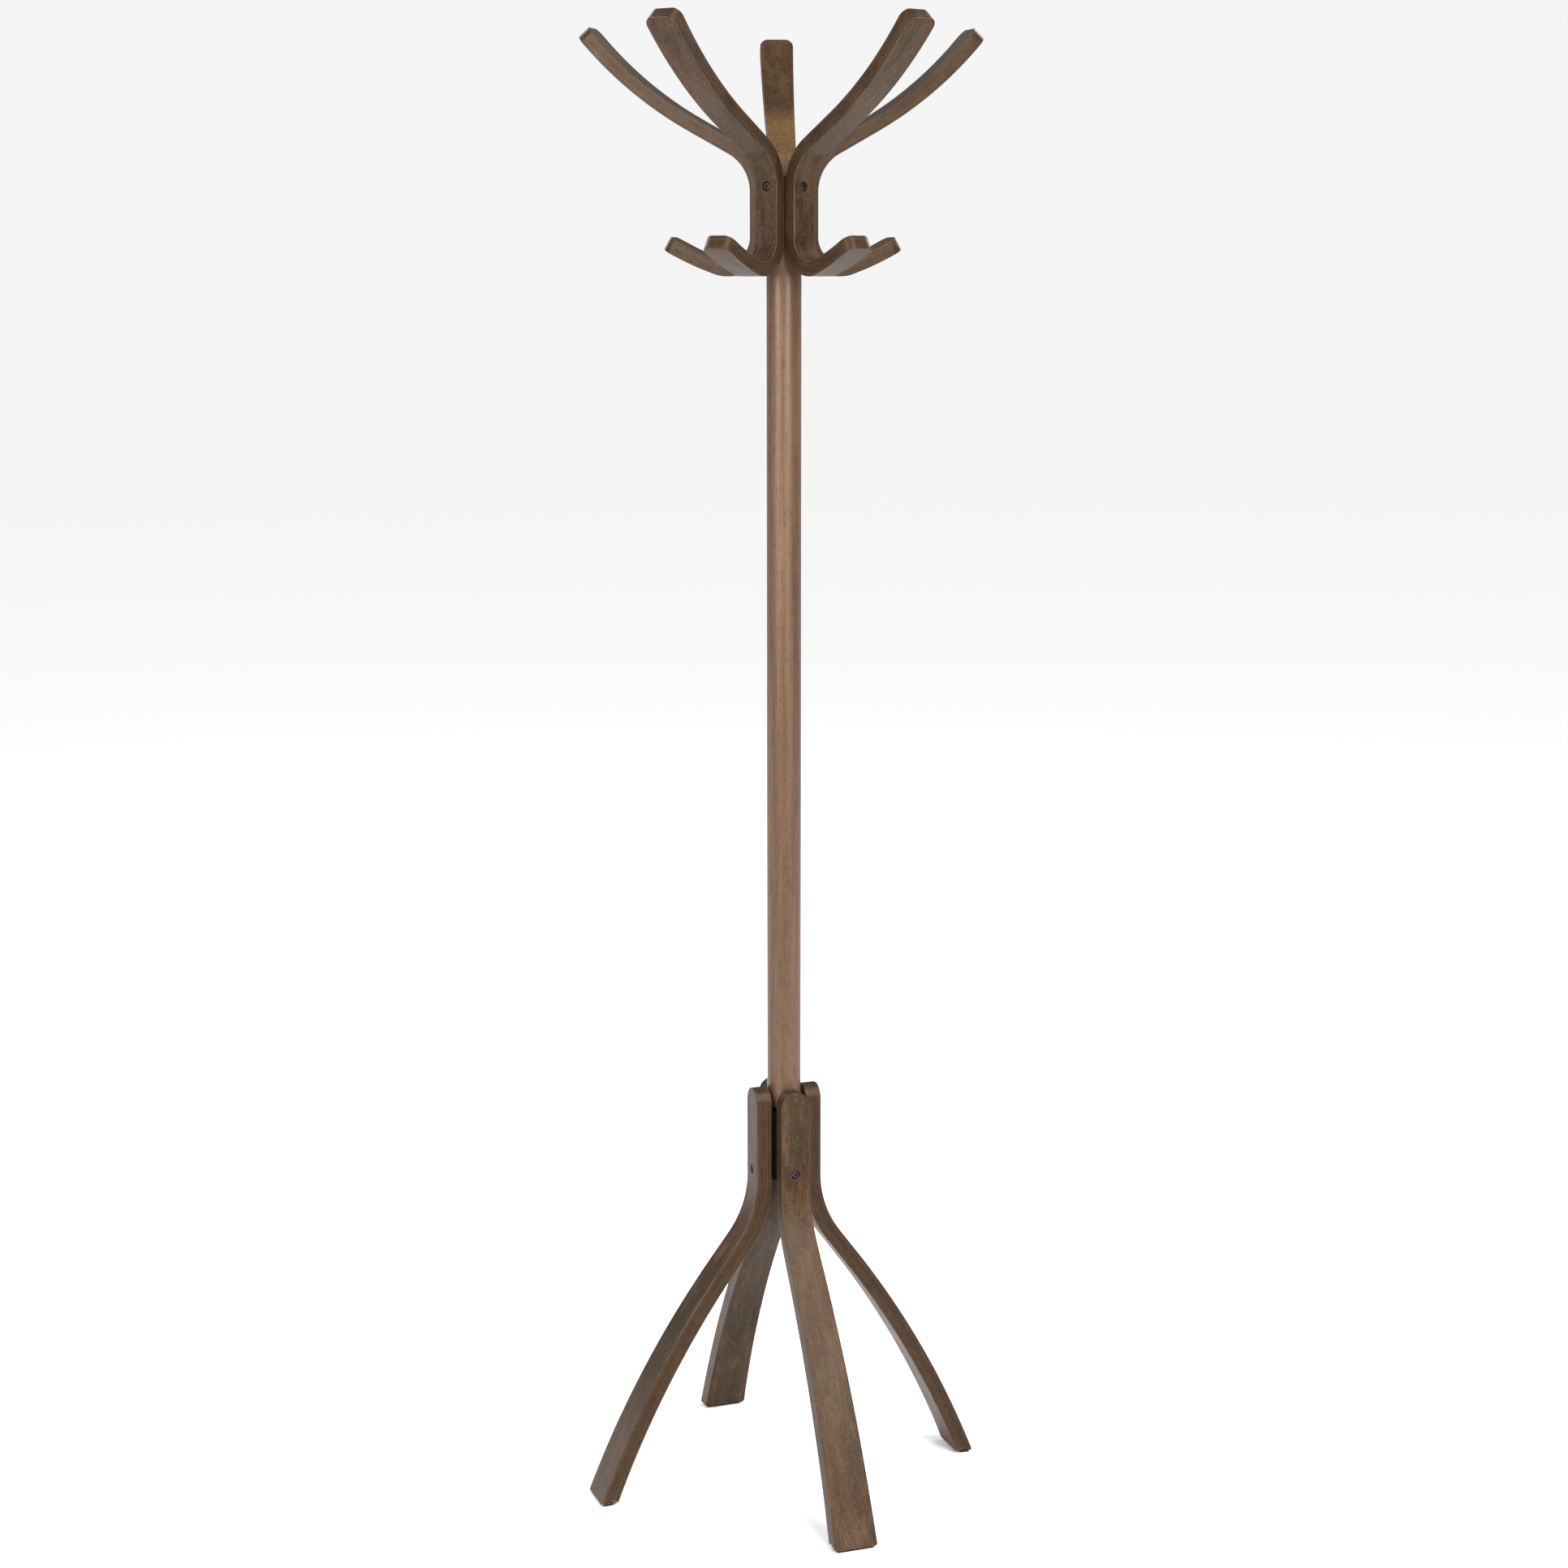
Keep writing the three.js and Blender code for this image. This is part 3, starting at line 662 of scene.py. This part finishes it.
class Strip:
    """A strip of plywood pressed along a centreline, with rubbed arrises and rounded ends."""

    def __init__(self, line, thickness, width_at, start_radius, end_radius):
        self.line = line
        self.thickness = thickness
        self.width_at = width_at
        self.start_radius = start_radius
        self.end_radius = end_radius  # 0 where the strip is cut off later
        self.back = 1  # which side of the line faces the pole
        self.back_arris = ARRIS  # and the radius of the arrises there
        self.foot = None  # the height of a level cut whose corners are rounded, and the rounding

    def half_width(self, distance):
        half = self.width_at(distance) / 2
        half -= arc_drop(distance, self.start_radius)
        if self.end_radius:
            half -= arc_drop(self.line.length - distance, self.end_radius)
        return half

    def inside_outline(self, across, along):
        """How far a point of the face lies inside the strip's outline, round corners included."""
        from_start, from_end = max(along, 0.0), max(self.line.length - along, 0.0)
        radius, to_end = self.start_radius, from_start
        if self.end_radius and from_end < from_start:
            radius, to_end = self.end_radius, from_end
        half = self.width_at(min(from_start, self.line.length)) / 2
        past = abs(across) - (half - radius)
        if past > 0 and to_end < radius:
            return max(radius - math.hypot(past, radius - to_end), 0.0)
        return max(min(half - abs(across), to_end), 0.0)

    def distances(self):
        found = self.line.stations()
        found += end_distances(self.start_radius, 9) + end_distances(ARRIS, 4)
        if self.end_radius:
            from_end = end_distances(self.end_radius, 9) + end_distances(ARRIS, 4)
            found += [self.line.length - d for d in from_end]
        if self.foot:
            cut = self.line.reach_down_to(self.foot[0])
            found += list(np.linspace(cut - 12 * MM, cut + 6 * MM, 24))
        kept = []
        for d in sorted(found):
            if not kept or d - kept[-1] > CLOSEST_RINGS:
                kept.append(d)
        return kept

    def ring(self, distance):
        """The section's 16 points: a rectangle with round corners, drawn in at a rounded end."""
        half_width = self.half_width(distance)
        half_thick = self.thickness / 2 - arc_drop(distance, ARRIS)
        if self.end_radius:
            half_thick -= arc_drop(self.line.length - distance, ARRIS)
        r, z, heading = self.line.at(distance)
        points = []
        for corner, (side, face) in enumerate(((1, 1), (-1, 1), (-1, -1), (1, -1))):
            arris = min(self.back_arris if face * self.back > 0 else ARRIS, half_width)
            half = half_width
            if self.foot:
                above_cut = z - face * half_thick * math.cos(heading) - self.foot[0]
                half -= arc_drop(max(above_cut, 0.0), self.foot[1])
            for step in range(4):
                angle = math.radians(90 * corner + 30 * step)
                across = side * (half - arris) + arris * math.cos(angle)
                through = face * (half_thick - arris) + arris * math.sin(angle)
                out = r + through * math.sin(heading)
                up = z - through * math.cos(heading)
                points.append((out, across, up))
        return points

    def mesh(self, name):
        rings = [self.ring(d) for d in self.distances()]
        size = len(rings[0])
        vertices = [point for points in rings for point in points]
        last = (len(rings) - 1) * size
        faces = []
        for near in range(0, last, size):
            far = near + size
            for i in range(size):
                j = (i + 1) % size
                faces.append((near + i, near + j, far + j, far + i))
        faces.append(tuple(range(size)))
        faces.append(tuple(reversed(range(last, last + size))))
        mesh = mesh_of(name, vertices, faces)
        turn_faces_out(mesh)
        return mesh

    def mark(self, mesh, shift):
        """Writes the attributes that the ply material reads, by finding each vertex on the line.

        The arris value is 0 where a rounded edge begins and 1 in its middle."""
        count = len(mesh.vertices)
        points = np.empty(count * 3)
        mesh.vertices.foreach_get("co", points)
        points = points.reshape(-1, 3)
        steps = np.linspace(0, self.line.length, 1500)
        line = np.array([self.line.at(d) for d in steps])
        strip = np.zeros((count, 3), np.float32)
        arris = np.zeros(count, np.float32)
        flank = np.zeros(count, np.float32)
        for i, (x, y, z) in enumerate(points):
            nearest = int(np.argmin((line[:, 0] - x) ** 2 + (line[:, 1] - z) ** 2))
            r0, z0, heading = line[nearest]
            along = steps[nearest] + (x - r0) * math.cos(heading) + (z - z0) * math.sin(heading)
            through = (x - r0) * math.sin(heading) - (z - z0) * math.cos(heading)
            to_side = self.inside_outline(y, along)
            to_face = max(self.thickness / 2 - abs(through), 0.0)
            strip[i] = (y + shift[0], through, along + shift[1])
            if max(to_side, to_face) < ARRIS_ZONE:
                arris[i] = min(min(to_side, to_face) / ARRIS_MIDDLE, 1.0)
            flank[i] = min(max(0.5 + (to_face - to_side) / (2 * ARRIS), 0.0), 1.0)
        for name, kind, field, values in (
            ("strip", "FLOAT_VECTOR", "vector", strip.ravel()),
            ("arris", "FLOAT", "value", arris),
            ("flank", "FLOAT", "value", flank),
        ):
            mesh.attributes.new(name, kind, "POINT").data.foreach_set(field, values)


def blend(a, b, t):
    return a + (b - a) * t


def arm_strip():
    """The arm's line runs from the lower tip, round the hook, up the pole and out to the upper tip."""
    centre = ARM_INSIDE + ARM_THICKNESS / 2
    down = Centreline((centre, ARM_FLAT[0]), -math.pi / 2, ARM_LOWER)
    tip_r, tip_z, tip_heading = down.at(down.length)
    backwards = [(size, -turn) for size, turn in reversed(ARM_LOWER)]
    flat = ARM_FLAT[1] - ARM_FLAT[0]
    line = Centreline((tip_r, tip_z), tip_heading + math.pi, backwards + [(flat, 0)] + ARM_UPPER)
    flat_start, flat_end = down.length, down.length + flat

    def width_at(distance):
        if distance < flat_start:
            return blend(ARM_LOWER_TIP_WIDTH, ARM_FLAT_WIDTH, distance / flat_start)
        past = max(0.0, distance - flat_end) / (line.length - flat_end)
        return blend(ARM_FLAT_WIDTH, ARM_UPPER_TIP_WIDTH, past)

    strip = Strip(line, ARM_THICKNESS, width_at, ARM_TIP_RADIUS, ARM_TIP_RADIUS)
    strip.back = -1
    strip.back_arris = ARM_BACK_ARRIS
    return strip


def leg_strip():
    """The leg's line runs from its top down to a little below the floor."""
    line = Centreline((LEG_INSIDE + LEG_THICKNESS / 2, LEG_TOP), -math.pi / 2, LEG_SHAPE)
    straight = LEG_TOP - LEG_KNEE
    foot = line.reach_down_to(0)

    def width_at(distance):
        past = max(0.0, distance - straight) / (foot - straight)
        return blend(LEG_TOP_WIDTH, LEG_FOOT_WIDTH, past)

    strip = Strip(line, LEG_THICKNESS, width_at, LEG_TOP_RADIUS, 0)
    strip.foot = (FOOT_CUT, FOOT_CORNER)
    return strip


def cut_foot(mesh):
    """Cuts the leg level at the top of its pad and eases the new edge."""
    work = bmesh.new()
    work.from_mesh(mesh)
    bmesh.ops.bisect_plane(
        work,
        geom=work.verts[:] + work.edges[:] + work.faces[:],
        plane_co=(0, 0, FOOT_CUT),
        plane_no=(0, 0, -1),
        clear_outer=True,
    )
    bmesh.ops.holes_fill(work, edges=[e for e in work.edges if e.is_boundary])
    level = [e for e in work.edges if all(abs(v.co.z - FOOT_CUT) < 1e-6 for v in e.verts)]
    bmesh.ops.bevel(
        work,
        geom=[e for e in level if len(e.link_faces) == 2],
        offset=FOOT_EASE,
        segments=1,
        profile=0.5,
        affect="EDGES",
        clamp_overlap=True,
    )
    bmesh.ops.recalc_face_normals(work, faces=work.faces)
    work.to_mesh(mesh)
    work.free()


def bolt_cutters(inside, face, height):
    """The clearance hole and the counterbore, whose mouth is eased by a small flare."""
    floor = face - BOLT_RECESS - BOLT_HEAD_HEIGHT - FIT
    outside = face + 2.5 * MM
    bore = [
        (0, floor),
        (COUNTERBORE_RADIUS, floor),
        (COUNTERBORE_RADIUS, face - COUNTERBORE_EASE),
        (COUNTERBORE_RADIUS + COUNTERBORE_EASE, face + 0.02 * MM),
        (COUNTERBORE_RADIUS + 3 * MM, outside),
        (0, outside),
    ]
    hole = drill("hole", BOLT_HOLE_RADIUS, inside - 5 * MM, floor + 1 * MM, "X", height)
    return [hole, lathe("bore", bore, 48, "X", height)]


def dowel_cutter(start, end, height):
    return drill("dowel_hole", DOWEL_RADIUS + FIT, start, end, "X", height, 32)


# ------------------------------------------------------------------ pieces


def add_piece(name, mesh, material, replaced):
    """A fine mesh that stands for a CAD node."""
    mesh.materials.clear()
    mesh.materials.append(material)
    mesh.polygons.foreach_set("use_smooth", [True] * len(mesh.polygons))
    mesh.set_sharp_from_angle(angle=math.radians(38))
    piece = bpy.data.objects.new(name, mesh)
    bpy.context.scene.collection.objects.link(piece)
    weighted = piece.modifiers.new("even_normals", "WEIGHTED_NORMAL")
    weighted.keep_sharp = True
    weighted.weight = 60
    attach(piece, "root")
    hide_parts(replaced)


def add_strips(label, node, strip, blank, count, first, first_shift, material):
    """Copies of a strip round the pole, each with its own stretch of grain."""
    for i in range(count):
        marked = blank.copy()
        strip.mark(marked, shift_of(first_shift + i))
        mesh = turned(marked, first + 360 * i / count)
        add_piece(f"{label}_{i + 1}_ply", mesh, material, f"{node}_{i + 1}")


def add_arms(material):
    strip = arm_strip()
    face = ARM_INSIDE + ARM_THICKNESS
    cutters = bolt_cutters(ARM_INSIDE, face, ARM_BOLT_HEIGHT)
    dowel_end = ARM_INSIDE + DOWEL_DEPTH + FIT
    cutters.append(dowel_cutter(ARM_INSIDE - 5 * MM, dowel_end, ARM_DOWEL_HEIGHT))
    blank = subtract(strip.mesh("arm"), cutters)
    add_strips("arm", "hook_arm", strip, blank, ARM_COUNT, ARM_FIRST_AZIMUTH, LEG_COUNT, material)


def add_legs(material):
    strip = leg_strip()
    mesh = strip.mesh("leg")
    cut_foot(mesh)
    face = LEG_INSIDE + LEG_THICKNESS
    cutters = bolt_cutters(LEG_INSIDE, face, LEG_BOLT_HEIGHT)
    dowel_end = LEG_INSIDE + DOWEL_DEPTH + FIT
    cutters.append(dowel_cutter(LEG_INSIDE - 5 * MM, dowel_end, LEG_DOWEL_HEIGHT))
    blank = subtract(mesh, cutters)
    add_strips("leg", "leg", strip, blank, LEG_COUNT, LEG_FIRST_AZIMUTH, 0, material)


def add_pole(material):
    """The pole with rounded ends, bored for the arms' sleeves and dowels and for the stud's sleeve."""
    profile = [(0, POLE_BOTTOM)]
    for i in range(5):
        angle = math.radians(90 * i / 4)
        radius = POLE_RADIUS - POLE_CHAMFER + POLE_CHAMFER * math.sin(angle)
        height = POLE_BOTTOM + POLE_CHAMFER - POLE_CHAMFER * math.cos(angle)
        profile.append((radius, height))
    profile += [(r, POLE_TOP + POLE_BOTTOM - z) for r, z in reversed(profile)]
    pole = lathe("pole", profile, 96)

    outside = POLE_RADIUS + PAST
    inside = POLE_RADIUS - ARM_INSERT_REACH
    insert = drill("insert_hole", ARM_INSERT_RADIUS + FIT, inside, outside, "X", ARM_BOLT_HEIGHT, 32)
    dowel = dowel_cutter(POLE_RADIUS - DOWEL_DEPTH - FIT, outside, ARM_DOWEL_HEIGHT)
    stud_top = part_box("pole_insert")[1].z + FIT
    cutters = [drill("stud_hole", STUD_INSERT_RADIUS + FIT, POLE_BOTTOM - PAST, stud_top)]
    for i in range(ARM_COUNT):
        azimuth = ARM_FIRST_AZIMUTH + 360 * i / ARM_COUNT
        cutters += [turned(insert, azimuth), turned(dowel, azimuth)]
    add_piece("pole_beech", subtract(pole, cutters), material, "pole")


def bolt_mesh(face, tip, height):
    """A low button-head bolt with a hexagon socket, its head just below the face."""
    top = face - BOLT_RECESS
    under = top - BOLT_HEAD_HEIGHT
    rim = under + BOLT_RIM
    profile = [
        (0, tip),
        (BOLT_SHANK_RADIUS - BOLT_TIP_CHAMFER, tip),
        (BOLT_SHANK_RADIUS, tip + BOLT_TIP_CHAMFER),
        (BOLT_SHANK_RADIUS, under),
        (BOLT_HEAD_RADIUS, under),
        (BOLT_HEAD_RADIUS, rim),
    ]
    for i in range(1, 8):
        angle = math.radians(90 * i / 7)
        radius = BOLT_FLAT_RADIUS + (BOLT_HEAD_RADIUS - BOLT_FLAT_RADIUS) * math.cos(angle)
        profile.append((radius, rim + (top - rim) * math.sin(angle)))
    profile.append((0, top))
    floor = top - SOCKET_DEPTH
    socket = [
        (0, floor),
        (SOCKET_RADIUS, floor),
        (SOCKET_RADIUS, top - 0.25 * MM),
        (SOCKET_RADIUS + SOCKET_FLARE, top + 0.05 * MM),
        (SOCKET_RADIUS + SOCKET_FLARE, top + 2 * MM),
        (0, top + 2 * MM),
    ]
    head = lathe("bolt", profile, 48, "X", height)
    return subtract(head, [lathe("socket", socket, 6, "X", height)])


def add_bolts(material):
    arm_face = ARM_INSIDE + ARM_THICKNESS
    leg_face = LEG_INSIDE + LEG_THICKNESS
    arm_bolt = bolt_mesh(arm_face, arm_bolt_low.x, ARM_BOLT_HEIGHT)
    leg_bolt = bolt_mesh(leg_face, leg_bolt_low.x, LEG_BOLT_HEIGHT)
    for label, mesh, count, first in (
        ("arm_bolt", arm_bolt, ARM_COUNT, ARM_FIRST_AZIMUTH),
        ("leg_bolt", leg_bolt, LEG_COUNT, LEG_FIRST_AZIMUTH),
    ):
        for i in range(count):
            piece = turned(mesh, first + 360 * i / count)
            add_piece(f"{label}_{i + 1}_head", piece, material, f"{label}_{i + 1}")


def dress_cad_nodes(materials):
    """Finishes the CAD nodes that stay, and eases the edges of the block and the pads."""
    for name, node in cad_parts.items():
        if name.startswith("arm_dowel") or name.startswith("leg_dowel"):
            slot = "plain_beech"
        elif name.startswith("foot_pad"):
            slot = "black_pad"
        elif name == "leg_hub":
            slot = "black_hub"
        elif "insert" in name or "stud" in name:
            slot = "zinc_steel"
        else:
            continue
        node.data.materials.clear()
        node.data.materials.append(materials[slot])
        if slot in ("black_pad", "black_hub"):
            eased = node.modifiers.new("eased_edges", "BEVEL")
            eased.width = EASED_EDGE
            eased.segments = 2
            eased.limit_method = "ANGLE"


bpy.context.scene.view_settings.view_transform = "Standard"
add_camera()
add_world()
add_lights()
add_floor()
materials = {
    "walnut_ply": walnut_ply(),
    "pole_beech": pole_beech(),
    "plain_beech": plain_beech(),
    "black_steel": metal("black_steel", BLACK_STEEL_LIGHT, BLACK_STEEL_DARK, 0.28, 0.42, 0.6),
    "zinc_steel": metal("zinc_steel", ZINC_LIGHT, ZINC_DARK, 0.25, 0.4, 1.0),
    "black_hub": near_black(),
    "black_pad": black_pad(),
}
add_arms(materials["walnut_ply"])
add_legs(materials["walnut_ply"])
add_pole(materials["pole_beech"])
add_bolts(materials["black_steel"])
dress_cad_nodes(materials)

bpy.context.view_layer.update()
